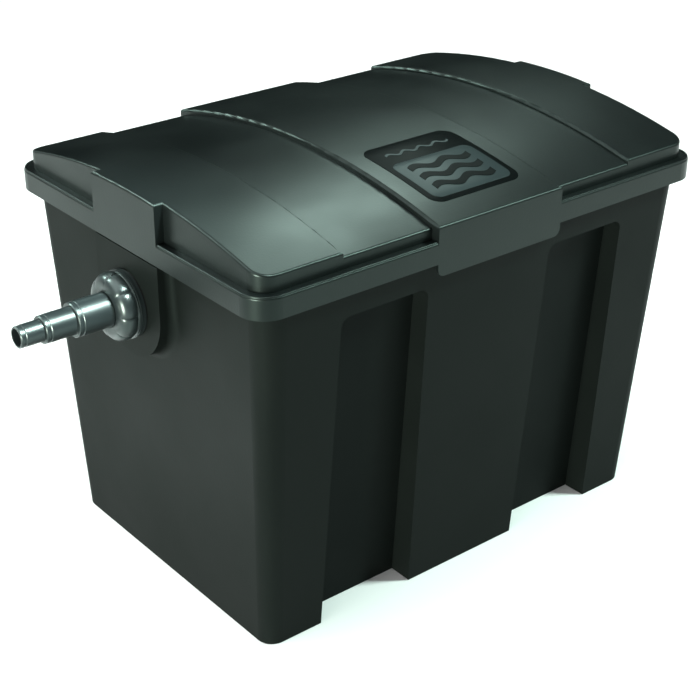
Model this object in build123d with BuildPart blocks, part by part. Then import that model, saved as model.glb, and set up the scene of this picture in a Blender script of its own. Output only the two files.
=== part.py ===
from build123d import *
import os
from math import hypot, radians, sin, sqrt

# Flow-through box filter for a garden pond. Millimetres, +Z up, the floor at z = 0, the origin at
# the centre of the tank's base. +X runs along the tank, from the inlet end to the outlet end.

# --- Lid -----------------------------------------------------------------------------------------
lid_len = 656.0  # over the skirt
lid_wid = 488.0
lid_corner = 31.0  # plan radius of the skirt's corners
ledge_z = 460.0  # height of the ledge round the crown
ledge = 11.0  # width of that ledge
skirt_drop = 25.0  # how far the skirt hangs below the ledge
lid_wall = 4.0
crown_corner = 22.0  # plan radius of the crown's corners
crest_rise = 47.0  # top of the two end bands above the ledge
arch_r = 961.0  # the crown is a barrel of this radius, its axis along X
low_step = 4.8  # the two low bands lie this much below the end bands
belt_step = 2.0  # the centre belt stands this much above the end bands
belt_drop = 40.0  # how far the belt's skirt hangs below the ledge
belt_corner = 9.0  # radius of the belt skirt's lower corners
ledge_round = 3.0
crown_round = 3.0

# --- Tank ----------------------------------------------------------------------------------------
inset_x = 16.0  # the end wall stands this far inside the lid's skirt, at the rim
inset_y = 11.5
taper_x = 17.5  # how far each end wall leans in from the rim to the floor
taper_y = 31.5
base_corner = 20.0
rim_corner = 28.0
tank_wall = 5.0
floor_wall = 6.0
flange_wall = 9.0  # the rim flange that the lid rests on
lid_gap = 0.3  # between the flange and the lid that rests on it
skirt_gap = 1.5  # between the flange's edge and the inside of the lid's skirt
recess_drop = 55.0  # the long walls' recesses close this far below the ledge
recess_corner = 12.0
recess_depth_low = 31.0  # depth at the floor
recess_depth_top = 24.0  # depth where the recess closes
panel_half_low = 84.5  # half width of the raised centre panel, at the floor
panel_half_top = 92.0
pillar_low = 75.5  # width of the raised corner pillars at the floor
pillar_top = 100.0

# --- Ports ---------------------------------------------------------------------------------------
port_drop = 89.4  # the inlet's and the outlet's axis lie this far below the ledge
boss_r = 63.0  # half width of the end wall's flat boss, round at its foot
boss_root = 9.0  # fillet where the boss grows out of the end wall
port_thread_r = 30.0  # outside thread for the union nut
thread_deep = 1.6
pitch = 4.0
port_bore_r = 20.0
stub_r = 24.5  # inside thread for the locknut
stub_gap = 0.5  # round the stub where it passes through the tank's wall
port_flange = 4.0
port_gasket = 2.0
stub_grip = 8.0  # length of the stub that the pipe inside is pushed over
neck_end = 24.0  # end of the outside thread, measured from the boss's face
locknut_wall = 14.0
locknut_len = 12.0
nut_wall = 8.3  # thickness of the union nut's lobed grip
nut_rim = 0.9  # how far its rear ring stands proud of the grip
nut_ring = 3.4  # length of that ring
nut_swell = 6.6  # length over which the grip swells to its full size
nut_shoulder = 5.6  # its front face is this much smaller in radius than the grip
nut_lip = 2.6
nut_chamfer = 4.0
nut_lobes = 8
nut_slot = 1.6  # width of the notches between the lobes
collar_len = 2.8
run_gap = 0.3  # between pieces that slide or turn past each other
hose_steps = [(20.0, 43.0), (16.0, 37.3), (12.5, 28.2)]  # radius and length of each step
hose_bore_r = 10.0
spigot_r = 25.0  # plain pipe end of the outlet
spigot_len = 73.0
spigot_wall = 3.0
o_ring_d = 3.0

# --- Pipes inside the tank -----------------------------------------------------------------------
pipe_wall = 3.5
pipe_bend = 36.0  # bend radius of the elbow
pipe_in = 66.0  # the upright pipes stand this far in from the bosses' outer faces
inlet_pipe_low = 130.0
outlet_pipe_low = 92.0
slot_rows = 14  # rows of slots in the outlet's dip pipe
slot_pitch = 9.0
slot_high = 3.0
slot_len = 18.0

# --- Partitions ----------------------------------------------------------------------------------
wall_beyond = 8.0  # the partitions stand this far outside the raised centre panel
wall_t = 6.0
wall_gap = 0.6  # clearance of a partition in its guide
guide_t = 3.0
guide_deep = 8.0
wall_rise = 14.4  # top of the partitions above the port's axis
under_gap = 60.0  # height of the way under the inlet partition
under_side = 30.0  # width of the foot left each side of that way
weir_slot = 14.0
weir_drop = 40.6  # bottom of the weir's slots below the port's axis

# --- Media ---------------------------------------------------------------------------------------
rail_r = 4.0
rail_drop = 21.6  # the brush rails lie this far below the port's axis
rail_gap = 2.0  # between the near rail and the inlet pipe, and at the rails' ends
bracket_wid = 20.0
bracket_deep = 8.0
bracket_high = 18.0  # below the rail's axis
brush_gap = 4.0
brush_low = 95.0
brush_drop = 27.0  # top of the bristles below the rail's axis
brush_core_r = 3.0
grid_z = 70.0
grid_t = 8.0
grid_bar = 4.0
grid_pitch = 16.0
leg_r = 7.0
grid_gap = 2.5  # between the ball grid and the drain's flange, and round the bag
mat_count = 5
mat_space = 5.0  # free width between one mat and the next
mat_gap = 1.0  # between the grid and the mats, and the end mats and the wall
mat_side = 14.0  # free width at the mats' ends
mat_drop = 40.6  # top of the mats below the port's axis
comb_y = 112.0
comb_wid = 12.0
comb_high = 22.0
comb_bite = 10.0  # how far the comb reaches down between the mats
bag_gap = 5.0
bag_drop = 45.6  # top of the ball bag below the port's axis
bag_round = 18.0

# --- Drain ---------------------------------------------------------------------------------------
drain_z = 45.0
pad_r = 34.0
pad_proud = 4.5  # the drain's pad stands this far out of the end wall, and as far in
drain_r = 17.0
drain_bore_r = 12.0
drain_flange_r = 29.0
drain_flange = 5.0
drain_nut_af = 50.0
drain_nut_len = 10.0
drain_grip = 11.0  # length of the connector inside the valve
valve_gap = 2.0  # from the locknut to the valve, and from the valve to the cap
valve_len = 59.0
valve_r = 24.0
valve_mid = 31.0  # centre of the ball from the valve's inner end
ball_r = 18.0
ball_bore_r = 11.0
stem_r = 5.0
stem_fit = 0.05  # running clearance of the stem in its tower
tongue_t = 3.6  # the stem's tongue, in a slot of the ball
tongue_deep = 3.0
slot_fit = 0.2
screw_head = 3.0
cap_wing = 12.0  # the bar that turns the cap
stem_top = 38.0  # above the pipe's axis
tower_r = 10.0
tower_top = 31.0
lever_len = 72.0
lever_wid = 16.0
lever_t = 4.0
lever_eye = 3.0  # how far the eye round the stem stands out past the lever's sides
grip_len = 30.0
grip_swell = 2.0  # how much wider and thicker the grip is, on each side
valve_thread = 14.0  # length of the outside thread under the cap
cap_len = 18.0
cap_wall = 5.0

# --- Badge ---------------------------------------------------------------------------------------
badge = 132.0
badge_y = 101.0  # centre of the badge, in from the front edge of the skirt
badge_t = 1.6
badge_sunk = 1.0
badge_corner = 16.0

# --- Worked out from the above -------------------------------------------------------------------
skirt_z = ledge_z - skirt_drop
crest_z = ledge_z + crest_rise
rim_top = ledge_z - lid_wall - lid_gap
flange_z = rim_top - flange_wall
rim_len = lid_len - 2 * inset_x
rim_wid = lid_wid - 2 * inset_y
base_len = rim_len - 2 * taper_x
base_wid = rim_wid - 2 * taper_y
face_x = lid_len / 2  # outer face of the end bosses, flush with the lid's skirt
recess_top = ledge_z - recess_drop
belt_half = panel_half_top  # the lid's belt lines up with the raised centre panel
band_x = rim_len / 2 - pillar_top  # and its end bands with the corner pillars
port_z = ledge_z - port_drop
wall_x = panel_half_top + wall_beyond
wall_top = port_z + wall_rise
rail_z = port_z - rail_drop
pipe_x = face_x - pipe_in
pipe_r = stub_r + run_gap / 2 + pipe_wall
nut_grip_r = port_thread_r + run_gap + nut_wall
nut_r = nut_grip_r + nut_rim
port_flange_r = nut_r - 0.5


def end_x(z):
    """The tank's outer half length at height z."""
    return base_len / 2 + (rim_len - base_len) / 2 * z / skirt_z


def side_y(z):
    """The tank's outer half width at height z."""
    return base_wid / 2 + (rim_wid - base_wid) / 2 * z / skirt_z


def corner_r(z):
    """The tank's outer corner radius at height z."""
    return base_corner + (rim_corner - base_corner) * z / skirt_z


def recess_y(z):
    """Distance of the recessed wall from the centre at height z."""
    low = base_wid / 2 - recess_depth_low
    top = side_y(recess_top) - recess_depth_top
    return low + (top - low) * z / recess_top


def save(piece, name):
    """Label a finished piece and write its STEP file."""
    piece.part.label = name
    export_step(piece.part, f"parts/{name}.step")


os.makedirs("parts", exist_ok=True)


# === Tank: one moulding ==========================================================================
def tub(shrink, low, high):
    """The tank's tapered outline, shrunk all round, between two heights."""
    with BuildPart() as solid:
        for z in (low, high):
            with BuildSketch(Plane.XY.offset(z)):
                RectangleRounded(2 * (end_x(z) - shrink), 2 * (side_y(z) - shrink), corner_r(z) - shrink)
        loft(ruled=True)
    return solid.part


lean = hypot(recess_y(recess_top) - recess_y(0), recess_top)
up_y = -(recess_y(recess_top) - recess_y(0)) / lean
up_z = recess_top / lean


def recess_plane(inward):
    """Plane of the recessed front wall, moved inward, its Y axis running up the wall."""
    return Plane(origin=(0, -recess_y(0), 0), x_dir=(1, 0, 0), z_dir=(0, -up_z, up_y)).offset(-inward)


def recess(grow):
    """The four wall recesses as solids, grown all round by the wall they leave behind them."""
    below = 20.0  # the solids start under the floor, so that they cut right through it
    far_low = base_len / 2 - pillar_low
    spread = (panel_half_top - panel_half_low) / lean
    pull = (far_low - band_x) / lean
    with BuildPart() as solid:
        with BuildSketch(recess_plane(grow)) as outline:
            with BuildLine():
                Polyline(
                    (panel_half_low - spread * below - grow, -below),
                    (far_low + pull * below + grow, -below),
                    (band_x + grow, lean + grow),
                    (panel_half_top - grow, lean + grow),
                    close=True,
                )
            make_face()
            fillet(outline.vertices().group_by(Axis.Y)[-1], recess_corner + grow)
        extrude(amount=2 * recess_depth_low)
        mirror(about=Plane.YZ)
        mirror(about=Plane.XZ)
    return solid.part


def end_boss(shrink, near_x, far_x, top_z):
    """The flat boss on both end walls: straight sides and a round foot about the port's axis."""
    with BuildPart() as solid:
        with BuildSketch(Plane.YZ.offset(near_x)):
            with Locations((0, port_z)):
                Circle(boss_r - shrink)
            with Locations((0, (port_z + top_z) / 2)):
                Rectangle(2 * (boss_r - shrink), top_z - port_z)
        extrude(amount=far_x - near_x)
        mirror(about=Plane.YZ)
    return solid.part


flange_x = face_x - lid_wall - skirt_gap
flange_y = lid_wid / 2 - lid_wall - skirt_gap
flange_corner = lid_corner - lid_wall - skirt_gap
outer_tub = tub(0, 0, rim_top)
inner_tub = tub(tank_wall, floor_wall, rim_top + 1)
recesses = recess(0)
bumps = recess(tank_wall)
boss_in = end_x(0) - 2 * tank_wall  # well inside the end wall
boss_top = skirt_z - skirt_gap
boss = end_boss(0, boss_in, face_x, boss_top)
boss_head = end_boss(0, boss_in, flange_x, rim_top)
hollow = end_boss(tank_wall, boss_in, face_x - tank_wall, boss_top - tank_wall)
hollow_head = end_boss(tank_wall, boss_in, flange_x - tank_wall, rim_top + 1)

# Pairs of ribs on the recessed walls that hold the partitions.
with BuildPart() as guides:
    with BuildSketch(recess_plane(tank_wall / 2)):
        side = (wall_t + guide_t) / 2 + wall_gap
        with Locations((wall_x - side, wall_top / 2), (wall_x + side, wall_top / 2)):
            Rectangle(guide_t, wall_top)
    extrude(amount=-guide_deep - tank_wall / 2)
    mirror(about=Plane.YZ)
    mirror(about=Plane.XZ)

# Brackets on the long walls, each with an open notch that a brush rail drops into.
near_rail_x = pipe_x - pipe_r - rail_gap - rail_r
brush_r = (near_rail_x - wall_x - wall_t / 2 - 2 * brush_gap) / 3
far_rail_x = near_rail_x - 2 * brush_r - brush_gap
near_wall_y = side_y(rail_z) - tank_wall
far_wall_y = recess_y(rail_z) - tank_wall
with BuildPart() as brackets:
    for rail_x, wall_y in ((near_rail_x, near_wall_y), (far_rail_x, far_wall_y)):
        with BuildSketch(Plane.XY.offset(rail_z - bracket_high)):
            with Locations((-rail_x, wall_y - bracket_deep / 2)):
                Rectangle(bracket_wid, bracket_deep + tank_wall)
        extrude(amount=bracket_high + rail_r)
        with Locations(Location((-rail_x, wall_y, rail_z), (90, 0, 0))):
            Cylinder(rail_r, 4 * bracket_deep, mode=Mode.SUBTRACT)
        with Locations((-rail_x, wall_y, rail_z + rail_r)):
            Box(2 * rail_r, 4 * bracket_deep, 2 * rail_r, mode=Mode.SUBTRACT)
    mirror(about=Plane.XZ)

# The drain passes through a thick flat pad in the outlet end's wall.
pad_out = end_x(drain_z) + pad_proud
pad_in = end_x(drain_z) - tank_wall - pad_proud

with BuildPart() as tank:
    add(outer_tub)
    add(recesses, mode=Mode.SUBTRACT)
    add(boss)
    fillet(tank.edges(Select.NEW), boss_root)
    add(boss_head)
    with BuildSketch(Plane.XY.offset(flange_z)):
        RectangleRounded(2 * flange_x, 2 * flange_y, flange_corner)
    extrude(amount=flange_wall)
    add(inner_tub - bumps, mode=Mode.SUBTRACT)
    add(hollow, mode=Mode.SUBTRACT)
    add(hollow_head, mode=Mode.SUBTRACT)
    add(guides.part)
    add(brackets.part)
    with BuildSketch(Plane(origin=(pad_in, 0, drain_z), x_dir=(0, 1, 0), z_dir=(1, 0, 0))):
        Circle(pad_r)
    extrude(amount=pad_out - pad_in)
    with Locations(Location((pad_out, 0, drain_z), (0, 90, 0))):
        Cylinder(drain_r, 4 * (pad_out - pad_in), mode=Mode.SUBTRACT)
    with Locations(Location((0, 0, port_z), (0, 90, 0))):
        Cylinder(stub_r + stub_gap, 2 * lid_len, mode=Mode.SUBTRACT)
save(tank, "tank")


# === Lid: one moulding ===========================================================================
def arch_z(y, crest, r):
    """Height at y of an arch of radius r whose top is at crest."""
    return crest - r + sqrt(r * r - y * y)


def arched_block(plan, crest, shrink, foot_z, rounding):
    """A block over a plan face, its top an arch along X, its top edges rounded."""
    r = arch_r - shrink
    half_x = plan.bounding_box().max.X + 1
    half_y = lid_wid / 2 + 1
    edge_z = arch_z(half_y, crest - shrink, r)
    with BuildPart() as block:
        add(plan.moved(Location((0, 0, foot_z))))
        extrude(amount=crest - foot_z, dir=(0, 0, 1))
        with BuildSketch(Plane.YZ.offset(-half_x)):
            with BuildLine():
                ThreePointArc((-half_y, edge_z), (0, crest - shrink), (half_y, edge_z))
                Polyline((half_y, edge_z), (half_y, foot_z), (-half_y, foot_z), (-half_y, edge_z))
            make_face()
        extrude(amount=2 * half_x, mode=Mode.INTERSECT)
        if rounding > 0:
            top = block.faces().filter_by(GeomType.CYLINDER).sort_by(SortBy.AREA)[-1]
            fillet(top.edges(), rounding)
    return block.part


def plan(low_x, high_x, half_y, round_corners=0.0):
    """Plan of one band; its corners at high_x may be rounded."""
    with BuildSketch() as face:
        with Locations(((low_x + high_x) / 2, 0)):
            Rectangle(high_x - low_x, 2 * half_y)
        if round_corners > 0:
            fillet(face.vertices().group_by(Axis.X)[-1], round_corners)
    return face.sketch


def lid_solid(shrink, foot_z, rounding):
    """The lid's crown, end bosses and belt, shrunk all round by shrink."""
    crown_x = lid_len / 2 - ledge - shrink
    crown_y = lid_wid / 2 - ledge - shrink
    low = arched_block(
        plan(-band_x - lid_wall, band_x + lid_wall, crown_y), crest_z - low_step, shrink, foot_z, rounding
    )
    end = arched_block(
        plan(band_x + shrink, crown_x, crown_y, crown_corner - shrink), crest_z, shrink, foot_z, rounding
    )
    nose = arched_block(
        plan(crown_x - 2 * ledge, face_x - shrink, boss_r - shrink), crest_z, shrink, foot_z, rounding
    )
    belt = arched_block(
        plan(-belt_half + shrink, belt_half - shrink, lid_wid / 2 - shrink),
        crest_z + belt_step, shrink, foot_z, rounding,
    )
    with BuildPart() as solid:
        add(end)
        add(nose)
        mirror(about=Plane.YZ)
        add(low)
        add(belt)
    return solid.part


def badge_block(low, high):
    """A rounded square column over the badge, cut to the layer between two arches."""
    with BuildPart() as block:
        with BuildSketch(Plane.XY.offset(ledge_z)):
            with Locations((0, badge_y - lid_wid / 2)):
                RectangleRounded(badge, badge, badge_corner)
        extrude(amount=2 * crest_rise)
        with BuildSketch(Plane.YZ.offset(-badge)):
            with Locations((0, crest_z + belt_step - arch_r)):
                Circle(arch_r + high)
                Circle(arch_r + low, mode=Mode.SUBTRACT)
        extrude(amount=2 * badge, mode=Mode.INTERSECT)
    return block.part


with BuildPart() as belt_skirt:
    for side in (-1, 1):
        with BuildSketch(Plane.XZ.offset(side * lid_wid / 2)):
            with Locations((0, ledge_z - belt_drop / 2)):
                Rectangle(2 * belt_half, belt_drop)
        extrude(amount=-side * lid_wall)
    fillet(belt_skirt.edges().filter_by(Axis.Y).group_by(Axis.Z)[0], belt_corner)

badge_bed = badge_block(-badge_sunk, badge_t)

with BuildPart() as lid:
    with BuildSketch(Plane.XY.offset(skirt_z)):
        RectangleRounded(lid_len, lid_wid, lid_corner)
    extrude(amount=skirt_drop)
    fillet(lid.faces().sort_by(Axis.Z)[-1].edges(), ledge_round)
    add(lid_solid(0, skirt_z, crown_round))
    add(belt_skirt.part)
    with BuildSketch(Plane.XY.offset(skirt_z)):
        RectangleRounded(lid_len - 2 * lid_wall, lid_wid - 2 * lid_wall, lid_corner - lid_wall)
    extrude(amount=skirt_drop - lid_wall, mode=Mode.SUBTRACT)
    add(lid_solid(lid_wall, skirt_z - 1, 0), mode=Mode.SUBTRACT)
    add(badge_bed, mode=Mode.SUBTRACT)
save(lid, "lid")

# === Badge: a plain plate bedded in the belt =====================================================
with BuildPart() as badge_plate:
    add(badge_block(-badge_sunk, badge_t - badge_sunk))
save(badge_plate, "badge_plate")


# === Ports: threaded connector, seal, union nut and tail at each end =============================
def turned(outline, side):
    """A turned piece: outline gives (distance out from the boss's face, radius) points."""
    plane = Plane(origin=(side * face_x, 0, port_z), x_dir=(side, 0, 0), z_dir=(0, -side, 0))
    with BuildPart() as piece:
        with BuildSketch(plane):
            with BuildLine():
                Polyline(*outline, close=True)
            make_face()
        revolve(axis=Axis((0, 0, port_z), (1, 0, 0)))
    return piece


def ring(start, end, inner, outer, side):
    """A plain turned ring between two stations."""
    return turned([(start, inner), (end, inner), (end, outer), (start, outer)], side)


def thread(start, end, crest, root):
    """Points of a row of thread ridges, from one station to the next."""
    points = []
    count = int((end - start) / pitch)
    for i in range(count):
        at = start + i * pitch
        points += [(at, root), (at + 0.35 * pitch, crest), (at + 0.65 * pitch, crest)]
    return points + [(start + count * pitch, root)]


root_r = port_thread_r - thread_deep
o_ring_r = (port_bore_r + root_r) / 2  # centre line of the seal in the neck's face
flange_out = port_gasket + port_flange
stub_reach = tank_wall + locknut_len + 2 * run_gap


def bulkhead(side):
    """Flange clamped against the outside of the boss, with its threaded stub inside the tank."""
    inner = -stub_reach - stub_grip
    outline = [(inner, port_bore_r), (flange_out, port_bore_r), (flange_out, port_flange_r)]
    outline += [(port_gasket, port_flange_r), (port_gasket, stub_r), (inner, stub_r)]
    return turned(outline, side)


def threaded_neck(side):
    """Neck welded to the flange: the union nut's thread outside, and a seal groove in its face."""
    groove_low, groove_high = o_ring_r - o_ring_d / 2, o_ring_r + o_ring_d / 2
    outline = [(flange_out, port_bore_r), (neck_end, port_bore_r)]
    outline += [(neck_end, groove_low), (neck_end - o_ring_d, groove_low)]
    outline += [(neck_end - o_ring_d, groove_high), (neck_end, groove_high), (neck_end, root_r)]
    outline += reversed(thread(flange_out + pitch / 2, neck_end - pitch / 2, port_thread_r, root_r))
    return turned(outline + [(flange_out, root_r)], side)


def locknut(side):
    """Six-sided nut on the stub, against the inside of the boss."""
    plane = Plane(origin=(side * (face_x - tank_wall), 0, port_z), x_dir=(0, 1, 0), z_dir=(-side, 0, 0))
    with BuildPart() as piece:
        with BuildSketch(plane):
            Circle(stub_r + locknut_wall)
        extrude(amount=locknut_len / 4)
        with BuildSketch(plane.offset(locknut_len / 4)):
            RegularPolygon(stub_r + locknut_wall - 1, 6)
        extrude(amount=3 * locknut_len / 4)
        with BuildSketch(plane):
            Circle(stub_r)
        extrude(amount=locknut_len, mode=Mode.SUBTRACT)
    return piece


def union_nut(side, hole_r):
    """Nut with a rim ring, a lobed grip and an inner lip that holds the tail's collar."""
    rear = flange_out + run_gap
    ring_end = rear + nut_ring
    inside = port_thread_r + run_gap
    outline = [(rear, inside), (nut_end - nut_lip, inside), (nut_end - nut_lip, hole_r), (nut_end, hole_r)]
    outline += [(nut_end, nut_grip_r - nut_shoulder), (nut_end - nut_chamfer, nut_grip_r - nut_rim)]
    outline += [(ring_end + nut_swell, nut_grip_r), (ring_end, nut_grip_r - nut_rim)]
    outline += [(ring_end, nut_r), (rear, nut_r)]
    skin = turned(outline, side)
    behind = Plane(origin=(side * (face_x + ring_end), 0, port_z), x_dir=(0, 1, 0), z_dir=(side, 0, 0))
    with BuildPart() as piece:
        add(skin.part)
        with BuildSketch(behind):
            with PolarLocations(nut_grip_r, nut_lobes):
                Rectangle(2 * nut_slot, nut_slot)
        extrude(amount=nut_end, mode=Mode.SUBTRACT)
    return piece


collar_r = port_thread_r - 2
collar_in = neck_end + run_gap / 2
collar_out = collar_in + collar_len
nut_end = collar_out + run_gap / 2 + nut_lip
plug_len = 14.0
step_groove = 0.6  # depth of the groove behind the bead at each step's end
groove_len = 2.7
bead_len = 4.3
bead_under = 0.2  # the bead is this much smaller in radius than the step, so that a hose passes
step_round = 1.0
neck_relief = 0.4  # the tails are this much smaller in radius where they pass through the nut


def collar_outline(bore):
    """Points of a tail's inner end: the plug in the neck and the collar on the neck's face."""
    plug = port_bore_r - run_gap
    outline = [(neck_end - plug_len, bore), (neck_end - plug_len, plug), (collar_in, plug)]
    return outline + [(collar_in, collar_r), (collar_out, collar_r)]


def o_ring(side):
    """Seal ring in the groove of the neck's face."""
    with BuildPart() as piece:
        centre = Plane(origin=(side * (face_x + neck_end - o_ring_d / 2), 0, port_z), z_dir=(1, 0, 0))
        with Locations(centre):
            Torus(o_ring_r, o_ring_d / 2)
    return piece


def bent_pipe(side, low, closed):
    """Elbow pushed over the stub, turning down into an upright pipe."""
    start_x = face_x - stub_reach
    with BuildPart() as piece:
        with BuildLine() as path:
            bend_x = side * (pipe_x + pipe_bend)
            turn_in = pipe_bend * (1 - sin(radians(45)))
            Line((side * start_x, 0, port_z), (bend_x, 0, port_z))
            ThreePointArc((bend_x, 0, port_z), (side * (pipe_x + turn_in), 0, port_z - turn_in),
                          (side * pipe_x, 0, port_z - pipe_bend))
            Line((side * pipe_x, 0, port_z - pipe_bend), (side * pipe_x, 0, low))
        mouth = Plane(origin=(side * start_x, 0, port_z), z_dir=(-side, 0, 0))
        with BuildSketch(mouth):
            Circle(pipe_r)
        sweep(path=path.line)
        with BuildSketch(mouth):
            Circle(pipe_r - pipe_wall)
        sweep(path=path.line, mode=Mode.SUBTRACT)
        if closed:
            with BuildSketch(Plane.XY.offset(low)):
                with Locations((side * pipe_x, 0)):
                    Circle(pipe_r)
            extrude(amount=pipe_wall)
            for level in range(slot_rows):
                for turn in (30, 90, 150):
                    middle = (side * pipe_x, 0, low + 1.5 * slot_pitch + level * slot_pitch)
                    with Locations(Location(middle, (0, 0, turn))):
                        Box(slot_len, 4 * pipe_r, slot_high, mode=Mode.SUBTRACT)
    return piece


for end, side in (("inlet", -1), ("outlet", 1)):
    save(bulkhead(side), f"{end}_bulkhead")
    save(threaded_neck(side), f"{end}_threaded_neck")
    save(ring(0, port_gasket, stub_r, port_flange_r - 1, side), f"{end}_gasket")
    save(locknut(side), f"{end}_locknut")
    save(o_ring(side), f"{end}_o_ring")

with BuildPart() as inlet_hose_tail:
    outline = collar_outline(hose_bore_r)
    neck_r = hose_steps[0][0] - neck_relief
    start, at = nut_end + run_gap, nut_end
    outline += [(collar_out, neck_r), (start, neck_r)]
    for r, length in hose_steps:
        at += length
        groove = at - bead_len - groove_len
        outline += [(start, r), (groove, r), (groove + step_groove, r - step_groove)]
        outline += [(at - bead_len - step_groove, r - step_groove), (at - bead_len, r - bead_under)]
        outline += [(at - step_round, r - bead_under), (at, r - step_round)]
        start = at
    outline += [(at, hose_bore_r)]
    add(turned(outline, -1).part)
save(inlet_hose_tail, "inlet_hose_tail")

save(union_nut(-1, hose_steps[0][0] + 2 * run_gap), "inlet_union_nut")
save(union_nut(1, spigot_r + 2 * run_gap), "outlet_union_nut")

plug_bore_r = port_bore_r - 4
spigot_bore_r = spigot_r - spigot_wall
spigot_end = collar_out + spigot_len
with BuildPart() as outlet_spigot:
    outline = collar_outline(plug_bore_r)
    outline += [(collar_out, spigot_r - neck_relief), (nut_end + run_gap, spigot_r - neck_relief)]
    outline += [(nut_end + run_gap, spigot_r), (spigot_end - 2 * step_round, spigot_r)]
    outline += [(spigot_end, spigot_r - step_round), (spigot_end, spigot_bore_r)]
    outline += [(nut_end + spigot_wall, spigot_bore_r), (nut_end - spigot_wall, plug_bore_r)]
    add(turned(outline, 1).part)
save(outlet_spigot, "outlet_spigot")

save(bent_pipe(-1, inlet_pipe_low, False), "inlet_down_pipe")
save(bent_pipe(1, outlet_pipe_low, True), "outlet_dip_pipe")


# === Partitions ==================================================================================
def partition(x, low_z):
    """A plate across the tank's waist, following the slope of the recessed walls."""
    with BuildPart() as piece:
        with BuildSketch(Plane.YZ.offset(x - wall_t / 2)):
            with BuildLine():
                low_y = recess_y(low_z) - tank_wall - 2 * wall_gap
                top_y = recess_y(wall_top) - tank_wall - 2 * wall_gap
                Polyline((-low_y, low_z), (low_y, low_z), (top_y, wall_top), (-top_y, wall_top), close=True)
            make_face()
        extrude(amount=wall_t)
    return piece


with BuildPart() as inlet_partition:
    add(partition(-wall_x, floor_wall + run_gap).part)
    way = 2 * (recess_y(0) - tank_wall - under_side)
    with Locations((-wall_x, 0, floor_wall)):
        Box(4 * wall_t, way, 2 * under_gap, mode=Mode.SUBTRACT)
save(inlet_partition, "inlet_partition")

with BuildPart() as outlet_partition:
    add(partition(wall_x, floor_wall + run_gap).part)
    slots = int((recess_y(0) - tank_wall) / weir_slot)
    with Locations((wall_x, 0, wall_top)):
        with GridLocations(1, 2 * weir_slot, 1, slots):
            Box(4 * wall_t, weir_slot, 2 * (wall_rise + weir_drop), mode=Mode.SUBTRACT)
save(outlet_partition, "outlet_partition")


# === Brushes on two rails ========================================================================
def rail(x, half_len):
    """Round rail lying across the tank in its two brackets."""
    with BuildPart() as piece:
        with Locations(Location((-x, 0, rail_z), (90, 0, 0))):
            Cylinder(rail_r, 2 * half_len)
    return piece


save(rail(near_rail_x, near_wall_y - rail_gap), "near_brush_rail")
save(rail(far_rail_x, far_wall_y - rail_gap), "far_brush_rail")

brush_top = rail_z - brush_drop
brush_y = (recess_y(brush_low) - tank_wall) * 2 / 3  # three across the waist, evenly spaced
places = [(near_rail_x, -brush_y), (near_rail_x, brush_y)]
places += [(far_rail_x, -brush_y), (far_rail_x, 0), (far_rail_x, brush_y)]
for number, (x, y) in enumerate(places, start=1):
    with BuildPart() as brush:
        with Locations((-x, y, (brush_low + brush_top) / 2)):
            Cylinder(brush_r, brush_top - brush_low)
        with Locations((-x, y, (brush_top + rail_z - rail_r) / 2)):
            Cylinder(brush_core_r, rail_z - rail_r - brush_top)
    save(brush, f"filter_brush_{number}")


# === Support grids ===============================================================================
def support_grid(name, low_x, high_x, half_y):
    """Slatted plate, saved with the four legs that stand under its corners."""
    mid_x, len_x = (low_x + high_x) / 2, high_x - low_x
    rows = int((2 * half_y - 2 * grid_bar) / grid_pitch)
    with BuildSketch() as corners:
        with Locations((mid_x, 0)):
            with GridLocations(len_x - 2 * leg_r, 2 * half_y - 2 * leg_r, 2, 2):
                Circle(leg_r)
    with BuildPart() as plate:
        with BuildSketch(Plane.XY.offset(grid_z)):
            with Locations((mid_x, 0)):
                Rectangle(len_x, 2 * half_y)
                with GridLocations((len_x - grid_bar) / 2, grid_pitch, 2, rows):
                    Rectangle((len_x - 3 * grid_bar) / 2, grid_pitch - grid_bar, mode=Mode.SUBTRACT)
            add(corners.sketch)
        extrude(amount=grid_t)
    save(plate, f"{name}_support_grid")
    with BuildPart() as legs:
        with BuildSketch(Plane.XY.offset(floor_wall)):
            add(corners.sketch)
        extrude(amount=grid_z - floor_wall)
    save(legs, f"{name}_grid_legs")


mat_half = panel_half_low - tank_wall - 2 * mat_gap
mat_wid = 2 * (side_y(grid_z) - tank_wall - mat_side)
support_grid("mat", -mat_half, mat_half, mat_wid / 2 + 3 * mat_gap)

bag_x = wall_x + wall_t / 2 + bag_gap
bag_len = pipe_x - pipe_r - 2 * bag_gap - bag_x
bag_wid = 2 * (recess_y(grid_z) - tank_wall - 2 * bag_gap)
flange_in = pad_in - port_gasket - drain_flange  # inner face of the drain connector's flange
support_grid("ball", bag_x, flange_in - grid_gap, bag_wid / 2 + grid_gap)

# === Filter mats and the combs that space them ===================================================
mat_pitch = 2 * mat_half / mat_count
mat_t = mat_pitch - mat_space
mat_low = grid_z + grid_t + mat_gap
mat_top = port_z - mat_drop
for number in range(1, mat_count + 1):
    with BuildPart() as mat:
        with Locations(((number - (mat_count + 1) / 2) * mat_pitch, 0, (mat_low + mat_top) / 2)):
            Box(mat_t, mat_wid, mat_top - mat_low)
    save(mat, f"filter_mat_{number}")

for name, side in (("front", -1), ("rear", 1)):
    with BuildPart() as comb:
        with Locations((0, side * comb_y, mat_top - comb_bite + comb_high / 2)):
            Box(2 * mat_half, comb_wid, comb_high)
        with Locations((0, side * comb_y, mat_top - comb_bite)):
            with GridLocations(mat_pitch, 1, mat_count, 1):
                Box(mat_t + 2 * run_gap, 2 * comb_wid, 2 * (comb_bite + run_gap), mode=Mode.SUBTRACT)
    save(comb, f"{name}_mat_comb")

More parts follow.
